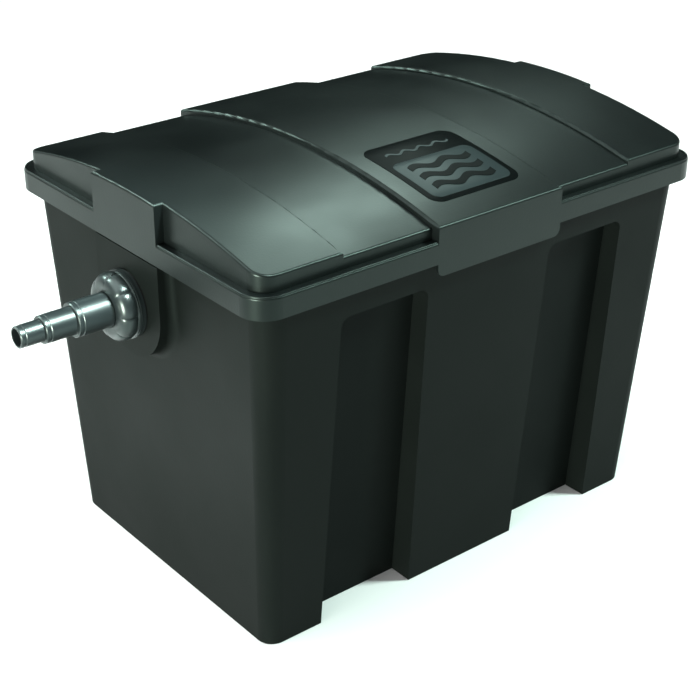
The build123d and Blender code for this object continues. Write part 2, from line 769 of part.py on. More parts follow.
# === Net bag of filter balls =====================================================================
bag_top = port_z - bag_drop
with BuildPart() as ball_bag:
    with Locations((bag_x + bag_len / 2, 0, (grid_z + grid_t + bag_top) / 2)):
        Box(bag_len, bag_wid, bag_top - grid_z - grid_t)
    fillet(ball_bag.edges().filter_by(Axis.Z), bag_round)
    fillet(ball_bag.edges(), bag_round / 2)
save(ball_bag, "ball_bag")


# === Drain: connector, ball valve and cap ========================================================
def bored(start, end, inner, outer):
    """A plain ring about the drain's axis."""
    with BuildPart() as piece:
        with BuildSketch(Plane(origin=(start, 0, drain_z), x_dir=(0, 1, 0), z_dir=(1, 0, 0))):
            Circle(outer)
            if inner > 0:
                Circle(inner, mode=Mode.SUBTRACT)
        extrude(amount=end - start)
    return piece


valve_start = pad_out + drain_nut_len + valve_gap
drain_end = valve_start + drain_grip
with BuildPart() as drain_connector:
    add(bored(flange_in, pad_in - port_gasket, drain_bore_r, drain_flange_r).part)
    add(bored(flange_in, drain_end, drain_bore_r, drain_r).part)
save(drain_connector, "drain_connector")
save(bored(pad_in - port_gasket, pad_in, drain_r, drain_flange_r), "drain_gasket")

with BuildPart() as drain_locknut:
    across = Plane(origin=(pad_out, 0, drain_z), x_dir=(0, 1, 0), z_dir=(1, 0, 0))
    with BuildSketch(across):
        RegularPolygon(drain_nut_af / 2, 6, major_radius=False)
        Circle(drain_r, mode=Mode.SUBTRACT)
    extrude(amount=drain_nut_len)
save(drain_locknut, "drain_locknut")

valve_x = valve_start + valve_mid
valve_end = valve_start + valve_len
chamber_r = ball_r + run_gap
seat_in = sqrt(chamber_r**2 - drain_bore_r**2)  # the seats' edges just clear the ball
with BuildPart() as valve_body:
    add(bored(valve_start, valve_end, 0, valve_r - 3).part)
    add(bored(valve_x - ball_r, valve_x + ball_r, 0, valve_r).part)
    add(bored(valve_end, valve_end + valve_thread, 0, drain_r).part)
    with Locations((valve_x, 0, drain_z + tower_top / 2)):
        Cylinder(tower_r, tower_top)
    add(bored(valve_start, drain_end, 0, drain_r).part, mode=Mode.SUBTRACT)
    add(bored(drain_end, valve_end + valve_thread, 0, drain_bore_r).part, mode=Mode.SUBTRACT)
    add(bored(valve_x - ball_r - 1, valve_x + ball_r + 1, 0, chamber_r).part, mode=Mode.SUBTRACT)
    with Locations((valve_x, 0, drain_z + tower_top / 2)):
        Cylinder(stem_r + stem_fit, tower_top + 1, mode=Mode.SUBTRACT)
save(valve_body, "valve_body")

with BuildPart() as valve_seats:
    add(bored(seat_in, ball_r + 1, drain_bore_r, chamber_r).part.moved(Location((valve_x, 0, 0))))
    mirror(about=Plane.YZ.offset(valve_x))
save(valve_seats, "valve_seats")

with BuildPart() as valve_ball:
    with Locations((valve_x, 0, drain_z)):
        Sphere(ball_r)
    with Locations(Location((valve_x, 0, drain_z), (90, 0, 0))):
        Cylinder(ball_bore_r, 4 * ball_r, mode=Mode.SUBTRACT)
    with Locations((valve_x, 0, drain_z + ball_r)):
        Box(ball_r, tongue_t + 2 * slot_fit, 2 * tongue_deep, mode=Mode.SUBTRACT)
save(valve_ball, "valve_ball")

with BuildPart() as valve_stem:
    with Locations((valve_x, 0, drain_z + (ball_r + stem_top) / 2)):
        Cylinder(stem_r, stem_top - ball_r)
    with Locations((valve_x, 0, drain_z + ball_r - tongue_deep / 2)):
        Box(1.6 * stem_r, tongue_t, tongue_deep)
save(valve_stem, "valve_stem")

lever_z = drain_z + tower_top + 1
with BuildPart() as valve_lever:
    with BuildSketch(Plane.XY.offset(lever_z)):
        with Locations((valve_x, 0)):
            Circle(lever_wid / 2 + lever_eye)
        with Locations((valve_x, -lever_len / 2)):
            Rectangle(lever_wid, lever_len)
    extrude(amount=lever_t)
    with BuildSketch(Plane.XY.offset(lever_z)):
        with Locations((valve_x, -lever_len + lever_wid / 2)):
            RectangleRounded(lever_wid + 2 * grip_swell, grip_len, lever_wid / 2)
    extrude(amount=lever_t + grip_swell)
    with Locations((valve_x, 0, lever_z + lever_t / 2)):
        Cylinder(stem_r, lever_t + 2, mode=Mode.SUBTRACT)
save(valve_lever, "valve_lever")

with BuildPart() as lever_screw:
    with Locations((valve_x, 0, drain_z + stem_top + screw_head / 2)):
        Cylinder(stem_r + 2, screw_head)
    with Locations((valve_x, 0, drain_z + stem_top + screw_head)):
        Box(2 * stem_r, screw_head / 2, screw_head / 2, mode=Mode.SUBTRACT)
save(lever_screw, "lever_screw")

cap_start = valve_end + valve_gap
with BuildPart() as drain_cap:
    add(bored(cap_start, cap_start + cap_len, 0, drain_r + cap_wall).part)
    thread_end = valve_end + valve_thread + run_gap
    add(bored(cap_start, thread_end, 0, drain_r + run_gap).part, mode=Mode.SUBTRACT)
    with Locations(Location((cap_start + cap_len, 0, drain_z), (0, 90, 0))):
        Box(2 * cap_wall, 2 * drain_r, cap_wing)
save(drain_cap, "drain_cap")
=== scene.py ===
from itertools import product
from math import hypot, pi, radians, sin, sqrt
from random import Random

import bmesh
import bpy
from mathutils import Matrix, Vector


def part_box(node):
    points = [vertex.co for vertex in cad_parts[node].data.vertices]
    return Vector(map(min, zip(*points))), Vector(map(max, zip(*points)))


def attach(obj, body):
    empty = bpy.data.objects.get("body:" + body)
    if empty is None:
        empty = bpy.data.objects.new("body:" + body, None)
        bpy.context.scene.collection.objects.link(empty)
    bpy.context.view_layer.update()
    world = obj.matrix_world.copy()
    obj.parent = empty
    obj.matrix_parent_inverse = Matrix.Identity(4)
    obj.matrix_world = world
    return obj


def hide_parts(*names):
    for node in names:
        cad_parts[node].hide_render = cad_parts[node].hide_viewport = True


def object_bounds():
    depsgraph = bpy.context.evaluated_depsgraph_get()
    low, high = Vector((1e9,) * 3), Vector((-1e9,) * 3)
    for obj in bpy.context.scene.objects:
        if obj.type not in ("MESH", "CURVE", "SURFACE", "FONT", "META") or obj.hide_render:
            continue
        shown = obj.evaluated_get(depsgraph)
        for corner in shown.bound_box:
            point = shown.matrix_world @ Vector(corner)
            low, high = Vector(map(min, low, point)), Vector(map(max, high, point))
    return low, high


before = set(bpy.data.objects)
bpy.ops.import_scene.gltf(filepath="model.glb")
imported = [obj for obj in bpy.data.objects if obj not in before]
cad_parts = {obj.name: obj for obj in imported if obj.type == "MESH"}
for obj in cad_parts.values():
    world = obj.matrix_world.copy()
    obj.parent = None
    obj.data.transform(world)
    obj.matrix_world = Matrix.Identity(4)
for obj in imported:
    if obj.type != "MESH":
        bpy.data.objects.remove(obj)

# A flow-through box filter for a garden pond: a ribbed tank under a loose arched lid, an inlet hose
# tail at one end, an outlet pipe and a drain valve at the other, and the filter media inside.
# Metres, +Z up, the tank standing on the floor at z = 0, the inlet at -X.
cad_low, cad_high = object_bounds()


# === Camera =======================================================================================
# Seen from the front corner at the inlet end, a little above the lid, through a long lens.
turned_right = radians(38.938)
tipped_down = radians(27.47)
leaning = radians(0.11)
camera = bpy.data.objects.new("camera", bpy.data.cameras.new("camera"))
bpy.context.scene.collection.objects.link(camera)
camera.matrix_world = (
    Matrix.Translation((-1.1103, -1.3449, 1.1130))
    @ Matrix.Rotation(-turned_right, 4, "Z")
    @ Matrix.Rotation(pi / 2 - tipped_down, 4, "X")
    @ Matrix.Rotation(leaning, 4, "Z")
)
camera.data.lens = 79.7  # millimetres, on a 36 mm sensor
camera.data.sensor_width = 36
camera.data.shift_x = 0.0091
camera.data.shift_y = -0.0021
bpy.context.scene.camera = camera


# === Floor and light ==============================================================================
# A plain pale studio floor. A soft sun lights it evenly, one large panel behind the far end shows
# in the lid as its sheen, and a panel at the inlet's side picks out the walls that face it.
def linear(colour):
    """An sRGB hex colour as the linear RGBA that Blender's sockets take."""
    parts = [int(colour[i:i + 2], 16) / 255 for i in (1, 3, 5)]
    return [p / 12.92 if p <= 0.04045 else ((p + 0.055) / 1.055) ** 2.4 for p in parts] + [1.0]


def shader(tree, kind, inputs=(), **settings):
    """Adds one node; each input is given a value, or the socket that feeds it."""
    made = tree.nodes.new(kind)
    for name, value in settings.items():
        setattr(made, name, value)
    for name, value in dict(inputs).items():
        if isinstance(value, bpy.types.NodeSocket):
            tree.links.new(value, made.inputs[name])
        else:
            made.inputs[name].default_value = value
    return made


def blank(name):
    """A new material with only its output node."""
    material = bpy.data.materials.new(name)
    material.use_nodes = True
    material.node_tree.nodes.clear()
    return material, material.node_tree


def piece(name, bm, material, smooth=40):
    """Finishes a bmesh as a named object; edges sharper than smooth degrees stay sharp."""
    mesh = bpy.data.meshes.new(name)
    bm.to_mesh(mesh)
    bm.free()
    mesh.polygons.foreach_set("use_smooth", [True] * len(mesh.polygons))
    mesh.set_sharp_from_angle(angle=radians(smooth))
    mesh.materials.append(material)
    made = bpy.data.objects.new(name, mesh)
    bpy.context.scene.collection.objects.link(made)
    return made


# Painted studio floor: nearly white and matt, with a faint unevenness from the roller.
floor_paint, tree = blank("floor_paint")
place = shader(tree, "ShaderNodeTexCoord")
roller = shader(tree, "ShaderNodeTexNoise", {"Vector": place.outputs["Object"], "Scale": 1.5})
paint = shader(
    tree, "ShaderNodeMix",
    {0: roller.outputs[0], 6: linear("#E6E6E5"), 7: linear("#EEEEED")}, data_type="RGBA",
)
skin = shader(tree, "ShaderNodeBsdfPrincipled", {"Base Color": paint.outputs[2], "Roughness": 0.9})
shader(tree, "ShaderNodeOutputMaterial", {"Surface": skin.outputs[0]})
bm = bmesh.new()
floor_reach, floor_gap = 40, 0.0004  # half its width, and how far it lies below the tank's base
bmesh.ops.create_grid(bm, x_segments=1, y_segments=1, size=floor_reach)
bmesh.ops.translate(bm, verts=bm.verts, vec=(0, 0, -floor_gap))
floor = piece("floor", bm, floor_paint)

# The room is pale at the horizon and dim overhead.
world = bpy.data.worlds.new("studio")
world.use_nodes = True
tree = world.node_tree
tree.nodes.clear()
upward = shader(tree, "ShaderNodeSeparateXYZ", {0: shader(tree, "ShaderNodeTexCoord").outputs["Generated"]})
room = shader(
    tree, "ShaderNodeMapRange",
    {"Value": upward.outputs["Z"], "From Min": 0.02, "From Max": 0.25, "To Min": 0.8, "To Max": 0.13},
)
sky = shader(tree, "ShaderNodeBackground", {"Color": linear("#E0E8E8"), "Strength": room.outputs[0]})
shader(tree, "ShaderNodeOutputWorld", {"Surface": sky.outputs[0]})
bpy.context.scene.world = world
bpy.context.scene.view_settings.view_transform = "Standard"


def lamp(name, kind, place_at, aim, power, colour, **settings):
    """A light at a place, turned to shine at another and hidden from the camera itself."""
    made = bpy.data.objects.new(name, bpy.data.lights.new(name, kind))
    made.data.energy = power
    made.data.color = linear(colour)[:3]
    for key, value in settings.items():
        setattr(made.data, key, value)
    made.location = place_at
    made.rotation_euler = (Vector(place_at) - Vector(aim)).to_track_quat("Z", "Y").to_euler()
    made.visible_camera = False
    bpy.context.scene.collection.objects.link(made)
    return made


lamp("sun", "SUN", (-0.55, 0.25, 1.0), (0, 0, 0), 3.5, "#FFFFFF", angle=radians(70))
lamp("sheen_panel", "AREA", (1.15, 1.00, 1.85), (-0.1, -0.2, 0.49), 10, "#DDF6EE", size=0.5)
lamp("corner_panel", "AREA", (0.20, 0.22, 1.05), (-0.27, -0.2, 0.49), 1.0, "#DDF6EE", size=0.22)
lamp("front_edge_panel", "AREA", (1.1, -1.1, 1.85), (0, -0.2, 0.45), 75, "#DDF6EE", size=0.35)
lamp("end_edge_panel", "AREA", (-1.0, 1.5, 1.55), (-0.2, 0.0, 0.45), 40, "#DDF6EE", size=0.35)
lamp("fitting_spot", "SPOT", (-0.12, -0.54, 1.40), (-0.40, 0.0, 0.37), 640, "#E6F2F0",
     spot_size=radians(15), spot_blend=1.0, shadow_soft_size=0.12)

# The side panel stands low and close, so the floor is screened from it.
side_panel = lamp("side_panel", "AREA", (-2.6, -0.98, 0.45), (-0.1, -0.2, 0.25), 210, "#F8F8EC", size=0.6)
screened = bpy.data.collections.new("screened_from_side_panel")
screened.objects.link(floor)
screened.collection_objects[0].light_linking.link_state = "EXCLUDE"
side_panel.light_linking.receiver_collection = screened

# A black flag stands behind, out of sight, and darkens what the lid's far side mirrors. It casts
# no shadow.
flag_cloth, tree = blank("black_flag_cloth")
weave = shader(tree, "ShaderNodeTexNoise", {"Scale": 300.0})
skin = shader(
    tree, "ShaderNodeBsdfPrincipled",
    {"Base Color": linear("#0A0A0A"), "Roughness": 1.0, "Specular IOR Level": 0.0,
     "Normal": shader(tree, "ShaderNodeBump", {"Height": weave.outputs[0]}).outputs[0]},
)
shader(tree, "ShaderNodeOutputMaterial", {"Surface": skin.outputs[0]})
bm = bmesh.new()
bmesh.ops.create_grid(bm, x_segments=1, y_segments=1, size=1)
flag_half_wide, flag_half_high = 2.2, 0.8
bmesh.ops.scale(bm, verts=bm.verts, vec=(flag_half_wide, flag_half_high, 1))
bmesh.ops.rotate(bm, verts=bm.verts, matrix=Matrix.Rotation(pi / 2, 3, "X"))
bmesh.ops.rotate(bm, verts=bm.verts, matrix=Matrix.Rotation(-turned_right, 3, "Z"))
bmesh.ops.translate(bm, verts=bm.verts, vec=(1.55, 1.95, flag_half_high))
flag = piece("black_flag", bm, flag_cloth)
flag.visible_camera = False
flag.visible_diffuse = False
flag.visible_shadow = False


# === Tank and lid =================================================================================
# Two large mouldings in green-black polyethylene: the tank with its raised corner pillars and
# centre panels, and the lid that rests loose on its rim. Both shapes are the frame's own.
def moulded_polymer(name, dark, pale, rough, sheen_level, tint, grain, relief):
    """Injection-moulded plastic: a fine cast grain, and soft patches where the melt cooled unevenly."""
    material, tree = blank(name)
    place = shader(tree, "ShaderNodeTexCoord").outputs["Object"]
    patch = shader(tree, "ShaderNodeTexNoise", {"Vector": place, "Scale": 1 / 0.11, "Detail": 3.0})
    fine = shader(tree, "ShaderNodeTexNoise", {"Vector": place, "Scale": 1 / grain, "Detail": 2.0})
    body = shader(
        tree, "ShaderNodeMix", {0: patch.outputs[0], 6: linear(dark), 7: linear(pale)}, data_type="RGBA",
    )
    matt = shader(
        tree, "ShaderNodeMapRange",
        {"Value": patch.outputs[0], "From Min": 0.3, "From Max": 0.7,
         "To Min": rough - 0.04, "To Max": rough + 0.05},
    )
    bump = shader(
        tree, "ShaderNodeBump", {"Height": fine.outputs[0], "Strength": 0.5, "Distance": relief},
    )
    skin = shader(
        tree, "ShaderNodeBsdfPrincipled",
        {"Base Color": body.outputs[2], "Roughness": matt.outputs[0], "Normal": bump.outputs[0],
         "IOR": 1.51, "Specular IOR Level": sheen_level, "Specular Tint": linear(tint)},
    )
    shader(tree, "ShaderNodeOutputMaterial", {"Surface": skin.outputs[0]})
    return material


# Green-black polyethylene: satin, darker where it faces away, with a cool green cast in its sheen.
# The cast grain is about 0.3 mm on such a moulding and is drawn at 2.5 mm, so that it shows.
lid_polymer = moulded_polymer(
    "satin_polyethylene", "#060909", "#0A0D0D", 0.36, 0.24, "#CDEBE2", 0.0025, 0.00012)
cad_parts["lid"].data.materials[0] = lid_polymer

# The tank has a coarser grain than the lid, so its walls are darker and duller. It is drawn at
# 3.2 mm.
tank_polymer = moulded_polymer(
    "matt_polyethylene", "#080B0A", "#0C0F0E", 0.5, 0.05, "#CDEBE2", 0.0032, 0.00016)
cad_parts["tank"].data.materials[0] = tank_polymer

# The lid's ledge ends in a low bead along its outer edge.
ledge_drop, lid_corner = 0.049, 0.031  # the ledge's depth below the belt, and the skirt's corners
ledge_z = cad_high.z - ledge_drop
bead_in, bead_wide, bead_high, bead_sunk, bead_round = 0.0008, 0.0034, 0.0010, 0.0022, 0.0011
bead_corner = lid_corner - bead_in
bm = bmesh.new()
bmesh.ops.create_grid(bm, x_segments=1, y_segments=1, size=0.5)
lid_low, lid_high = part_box("lid")
bead_size = [high - low - 2 * bead_in for low, high in zip(lid_low, lid_high)]
bmesh.ops.scale(bm, verts=bm.verts, vec=(bead_size[0], bead_size[1], 1))
bmesh.ops.bevel(
    bm, geom=bm.verts[:], offset=bead_corner, segments=10, profile=0.5, affect="VERTICES", material=-1)
rim = bmesh.ops.inset_region(bm, faces=bm.faces[:], thickness=bead_wide, use_boundary=True)["faces"]
bmesh.ops.delete(bm, geom=[f for f in bm.faces if f not in rim], context="FACES")
top = bmesh.ops.extrude_face_region(bm, geom=bm.faces[:])["geom"]
bmesh.ops.translate(
    bm, verts=[v for v in top if isinstance(v, bmesh.types.BMVert)], vec=(0, 0, bead_high + bead_sunk))
crest = [e for e in bm.edges if all(v.co.z > 0 for v in e.verts) and e.calc_face_angle(0) > 1]
bmesh.ops.bevel(
    bm, geom=crest, offset=bead_round, segments=3, profile=0.5, affect="EDGES", material=-1)
bmesh.ops.translate(bm, verts=bm.verts, vec=(0, 0, ledge_z - bead_sunk))
bmesh.ops.recalc_face_normals(bm, faces=bm.faces)
bead = piece("lid_ledge_bead", bm, lid_polymer)
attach(bead, "lid")


# === Badge ========================================================================================
# A thin moulded plate let into the lid: a dark frame, and a paler panel over its lower two thirds
# with three plain waves in relief.
arch_r = 0.961  # the lid's arch across the tank
belt_z = cad_high.z
badge_low, badge_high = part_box("badge_plate")
badge_mid = Vector(((badge_low[0] + badge_high[0]) / 2, (badge_low[1] + badge_high[1]) / 2, 0))
badge_wide = badge_high[0] - badge_low[0]


def laid_on_belt(bm, lift):
    """Bends flat work over the lid's arch, its underside lift above the belt."""
    for v in bm.verts:
        y = badge_mid.y + v.co.y
        v.co = (badge_mid.x + v.co.x, y, belt_z + sqrt(arch_r**2 - y**2) - arch_r + v.co.z + lift)


def rounded_tile(wide, deep, corner, thick, edge):
    """A flat tile with rounded corners and a softened upper edge, cut across so that it can bend."""
    bm = bmesh.new()
    bmesh.ops.create_grid(bm, x_segments=1, y_segments=1, size=0.5)
    bmesh.ops.scale(bm, verts=bm.verts, vec=(wide, deep, 1))
    bmesh.ops.bevel(
        bm, geom=bm.verts[:], offset=corner, segments=8, profile=0.5, affect="VERTICES", material=-1)
    top = bmesh.ops.extrude_face_region(bm, geom=bm.faces[:])["geom"]
    bmesh.ops.translate(bm, verts=[v for v in top if isinstance(v, bmesh.types.BMVert)], vec=(0, 0, thick))
    bmesh.ops.recalc_face_normals(bm, faces=bm.faces)
    crest = [e for e in bm.edges if all(v.co.z > thick / 2 for v in e.verts)]
    bmesh.ops.bevel(
        bm, geom=crest, offset=edge, segments=2, profile=0.5, affect="EDGES", material=-1)
    cuts = 16
    for i in range(1, cuts):
        bmesh.ops.bisect_plane(
            bm, geom=bm.verts[:] + bm.edges[:] + bm.faces[:],
            plane_co=(0, deep * (i / cuts - 0.5), 0), plane_no=(0, 1, 0))
    return bm


# The frame is black polymer, with a finer and duller face than the lid's. It is drawn at 1.8 mm.
badge_black = moulded_polymer(
    "badge_black_polymer", "#040606", "#070A0A", 0.40, 0.03, "#D5E6E2", 0.0018, 0.00008)
bm = rounded_tile(badge_wide, badge_wide, 0.016, 0.0010, 0.0005)
laid_on_belt(bm, -0.0006)
badge_frame = piece("badge_frame", bm, badge_black)
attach(badge_frame, "lid")
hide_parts("badge_plate")

# The panel is the lid's grey-green, a shade paler, in the same fine texture as the frame.
badge_grey = moulded_polymer(
    "badge_grey_polymer", "#1C2324", "#212A2B", 0.40, 0.14, "#D5E6E2", 0.0018, 0.00008)
panel_margin = 0.008
panel_share = 0.60  # how much of the badge's depth it takes up
panel_deep = badge_wide * panel_share
panel_mid = -badge_wide / 2 + panel_margin + panel_deep / 2
bm = rounded_tile(badge_wide - 2 * panel_margin, panel_deep, 0.011, 0.0009, 0.0004)
bmesh.ops.translate(bm, verts=bm.verts, vec=(0, panel_mid, 0))
laid_on_belt(bm, 0.0)
badge_panel = piece("badge_panel", bm, badge_grey)
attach(badge_panel, "lid")


def wave(long, wide, swing, waves, mid_y, lift, name, material):
    """One raised wave on the badge."""
    raised = 0.0007
    bm = bmesh.new()
    bmesh.ops.create_grid(bm, x_segments=48, y_segments=1, size=0.5)
    bmesh.ops.scale(bm, verts=bm.verts, vec=(long, wide, 1))
    for v in bm.verts:
        v.co.y += mid_y + swing * sin(2 * pi * waves * v.co.x / long)
    top = bmesh.ops.extrude_face_region(bm, geom=bm.faces[:])["geom"]
    bmesh.ops.translate(bm, verts=[v for v in top if isinstance(v, bmesh.types.BMVert)], vec=(0, 0, raised))
    bmesh.ops.recalc_face_normals(bm, faces=bm.faces)
    laid_on_belt(bm, lift)
    made = piece(name, bm, material)
    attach(made, "lid")


for number in range(3):
    row = panel_mid + (number - 1) * panel_deep * 0.26
    wave(badge_wide * 0.66, 0.010, 0.0042, 2, row, 0.0007, f"badge_wave_{number + 1}", badge_black)
wave(badge_wide * 0.70, 0.0035, 0.0030, 4, badge_wide * 0.31, 0.0002, "badge_ripple", badge_grey)


# === Inlet and outlet fittings ====================================================================
# Black glass-filled nylon, moulded and glossy: a flanged connector clamped through each end wall,
# a lobed union nut on its thread, and the tail that the nut holds.
fitting_nylon = moulded_polymer(
    "glossy_black_nylon", "#0E1213", "#141A1B", 0.33, 0.6, "#D8EDE8", 0.0016, 0.00005)
fittings = ("inlet_bulkhead", "outlet_bulkhead", "inlet_locknut", "outlet_locknut",
            "inlet_hose_tail", "outlet_spigot")
for name in fittings:
    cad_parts[name].data.materials[0] = fitting_nylon


# The union nut: two rings behind, and a domed grip cut by fine notches into eight broad lobes.
def union_nut(end, side):
    """Turns the nut's section about the port's axis, then presses in the notches between lobes."""
    node = f"{end}_union_nut"
    low, high = (Vector(corner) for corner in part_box(node))
    rear_x = high.x if side < 0 else low.x
    port_z = (low.z + high.z) / 2
    full_r = (high.z - low.z) / 2
    hole_r = 0.0206 if end == "inlet" else 0.0256
    thread_r = 0.0303  # the thread's room, inside
    section = [
        (0.0000, thread_r), (0.0000, full_r - 0.0004), (0.0004, full_r), (0.0014, full_r),
        (0.0019, full_r - 0.0012), (0.0023, full_r - 0.0012), (0.0027, full_r - 0.0001),
        (0.0037, full_r - 0.0002), (0.0042, full_r - 0.0016), (0.0049, full_r - 0.0020),
        (0.0058, full_r - 0.0008), (0.0085, full_r - 0.0003), (0.0125, full_r - 0.0005),
        (0.0160, full_r - 0.0014), (0.0190, full_r - 0.0030), (0.0212, full_r - 0.0052),
        (0.0226, full_r - 0.0080), (0.0234, full_r - 0.0112), (0.0234, hole_r + 0.0008),
        (0.0229, hole_r), (0.0208, hole_r), (0.0208, thread_r),
    ]
    lobes, per_lobe = 8, 20
    grip_start, grip_depth = 0.0050, 0.0090
    notch, crowned, notch_wide = 0.0018, 0.0011, 1.2
    bm = bmesh.new()
    ring = [bm.verts.new((out, 0, r)) for out, r in section]
    edges = [bm.edges.new(pair) for pair in zip(ring, ring[1:] + ring[:1])]
    bmesh.ops.spin(
        bm, geom=ring + edges, cent=(0, 0, 0), axis=(1, 0, 0), angle=2 * pi, steps=lobes * per_lobe,
        use_merge=True)
    for v in bm.verts:
        r = v.co.yz.length
        if v.co.x > grip_start and r > full_r - grip_depth:
            across = (v.co.yz.angle_signed(Vector((0, 1))) / (2 * pi) * lobes) % 1
            edge = abs(2 * across - 1)
            sunk = notch if edge > 1 - notch_wide / per_lobe else crowned * edge**4
            v.co.yz = v.co.yz * ((r - sunk) / r)
    if side < 0:
        bmesh.ops.scale(bm, verts=bm.verts, vec=(-1, 1, 1))
    bmesh.ops.translate(bm, verts=bm.verts, vec=(rear_x, 0, port_z))
    bmesh.ops.recalc_face_normals(bm, faces=bm.faces)
    made = piece(f"{end}_lobed_nut", bm, fitting_nylon, smooth=35)
    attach(made, f"{end}_nut")
    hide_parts(node)


union_nut("inlet", -1)
union_nut("outlet", 1)

# The union nuts run on welded necks of the same nylon, which show as the nuts are unscrewed.
for end in ("inlet", "outlet"):
    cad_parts[f"{end}_threaded_neck"].data.materials[0] = fitting_nylon


# === Seals ========================================================================================
# Flat washers and round cords of black EPDM rubber, pressed between each flange and its wall and
# let into the face of each neck.
# EPDM is soft and dull, with a faint bloom of dust; its 0.5 mm grain is drawn at 1 mm.
epdm_rubber = moulded_polymer(
    "dull_black_epdm", "#0C0C0C", "#151514", 0.82, 0.3, "#FFFFFF", 0.0010, 0.00010)
for name in ("inlet_gasket", "outlet_gasket", "drain_gasket", "inlet_o_ring", "outlet_o_ring"):
    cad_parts[name].data.materials[0] = epdm_rubber


# === Pipes and partitions =========================================================================
# Two elbows of grey extruded PVC pipe, pushed over the connectors' stubs. Two cut sheets of dark
# grey polypropylene slide down guides in the walls and part the tank into three chambers.
# uPVC pipe has a smooth low gloss with fine marks from the die, drawn at 1.5 mm.
upvc_pipe = moulded_polymer(
    "grey_upvc_pipe", "#33373A", "#3C4043", 0.34, 0.5, "#FFFFFF", 0.0015, 0.00005)
# Pressed polypropylene sheet is duller, with a light orange-peel of about 3 mm from the press.
pressed_sheet = moulded_polymer(
    "grey_polypropylene_sheet", "#24282A", "#2C3032", 0.48, 0.4, "#FFFFFF", 0.0030, 0.00012)
for name in ("inlet_down_pipe", "outlet_dip_pipe"):
    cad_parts[name].data.materials[0] = upvc_pipe
for name in ("inlet_partition", "outlet_partition"):
    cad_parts[name].data.materials[0] = pressed_sheet


# === Brush rails and screw ========================================================================
# Round bars of drawn stainless steel, dropped into notched brackets on the long walls, and the
# small stainless screw that holds the drain's lever.
# Drawing leaves fine lines along the bar, here across the tank: they are 0.1 mm wide and are drawn
# at 0.8 mm.
drawn_stainless, tree = blank("drawn_stainless_steel")
place = shader(tree, "ShaderNodeTexCoord").outputs["Object"]
along = shader(
    tree, "ShaderNodeMapping", {"Vector": place, "Scale": (1 / 0.0008, 1 / 0.05, 1 / 0.0008)})
lines = shader(tree, "ShaderNodeTexNoise", {"Vector": along.outputs[0], "Scale": 1.0, "Detail": 2.0})
steel = shader(
    tree, "ShaderNodeMix",
    {0: lines.outputs[0], 6: linear("#8F9294"), 7: linear("#B9BBBC")}, data_type="RGBA",
)
polish = shader(
    tree, "ShaderNodeMapRange", {"Value": lines.outputs[0], "To Min": 0.22, "To Max": 0.38})
draw_marks = shader(
    tree, "ShaderNodeBump", {"Height": lines.outputs[0], "Strength": 0.4, "Distance": 0.00003})
skin = shader(
    tree, "ShaderNodeBsdfPrincipled",
    {"Base Color": steel.outputs[2], "Metallic": 1.0, "Roughness": polish.outputs[0],
     "Normal": draw_marks.outputs[0]},
)
shader(tree, "ShaderNodeOutputMaterial", {"Surface": skin.outputs[0]})
for name in ("near_brush_rail", "far_brush_rail", "lever_screw"):
    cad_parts[name].data.materials[0] = drawn_stainless


# === Filter brushes ===============================================================================
# Bottle brushes about 0.25 m long: green polypropylene bristles caught in two twisted stainless
# wires. Each hangs from a rail by the loop in which its wires end.
# One bristle is 0.5 mm thick and there are tens of thousands; they are drawn fewer and thicker.
bristle_green, tree = blank("green_polypropylene_bristle")
place = shader(tree, "ShaderNodeTexCoord").outputs["Object"]
tuft = shader(tree, "ShaderNodeTexNoise", {"Vector": place, "Scale": 1 / 0.006, "Detail": 2.0})
body = shader(
    tree, "ShaderNodeMix",
    {0: tuft.outputs[0], 6: linear("#14522F"), 7: linear("#3C8C55")}, data_type="RGBA",
)
skin = shader(
    tree, "ShaderNodeBsdfPrincipled",
    {"Base Color": body.outputs[2], "Roughness": 0.42, "IOR": 1.49,
     "Normal": shader(tree, "ShaderNodeBump",
                      {"Height": tuft.outputs[0], "Strength": 0.3, "Distance": 0.0002}).outputs[0]},
)
shader(tree, "ShaderNodeOutputMaterial", {"Surface": skin.outputs[0]})

brush_low, brush_high = (Vector(corner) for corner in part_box("filter_brush_1"))
rail_low, rail_high = (Vector(corner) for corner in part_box("near_brush_rail"))
brush_r = (brush_high.x - brush_low.x) / 2
bristle_top = rail_low.z - 0.023
bristle_inset, bristle_margin = 0.003, 0.003  # short of the brush's radius, and clear of its ends
bristle_root_r, bristle_tip_r, bristle_root = 0.00055, 0.0003, 0.001
bristle_long = brush_r - bristle_inset
golden_turn = pi * (3 - sqrt(5))  # no two bristles stand above each other
bristle_count = 2400
bristles = bmesh.new()
bmesh.ops.create_cone(
    bristles, segments=3, radius1=bristle_root_r, radius2=bristle_tip_r, depth=bristle_long, cap_ends=False)
bmesh.ops.translate(bristles, verts=bristles.verts, vec=(0, 0, bristle_long / 2 + bristle_root))
bmesh.ops.rotate(bristles, verts=bristles.verts, matrix=Matrix.Rotation(pi / 2, 3, "Y"))
bmesh.ops.translate(bristles, verts=bristles.verts, vec=(0, 0, brush_low.z + bristle_margin))
bmesh.ops.spin(
    bristles, geom=bristles.faces[:], cent=(0, 0, 0), axis=(0, 0, 1),
    dvec=(0, 0, (bristle_top - brush_low.z - 2 * bristle_margin) / bristle_count),
    angle=golden_turn * bristle_count, steps=bristle_count, use_duplicate=True)
draw = Random(7)
for face in bristles.faces:
    tips = [v for v in face.verts if hypot(v.co.x, v.co.y) > brush_r / 2]
    if tips:
        droop = draw.uniform(-0.0025, 0.0015)
        trim = draw.uniform(0.93, 0.985)
        for v in tips:
            v.co = (v.co.x * trim, v.co.y * trim, max(v.co.z + droop, brush_low.z + 0.0005))
bristle_mesh = bpy.data.meshes.new("brush_bristles")
bristles.to_mesh(bristle_mesh)

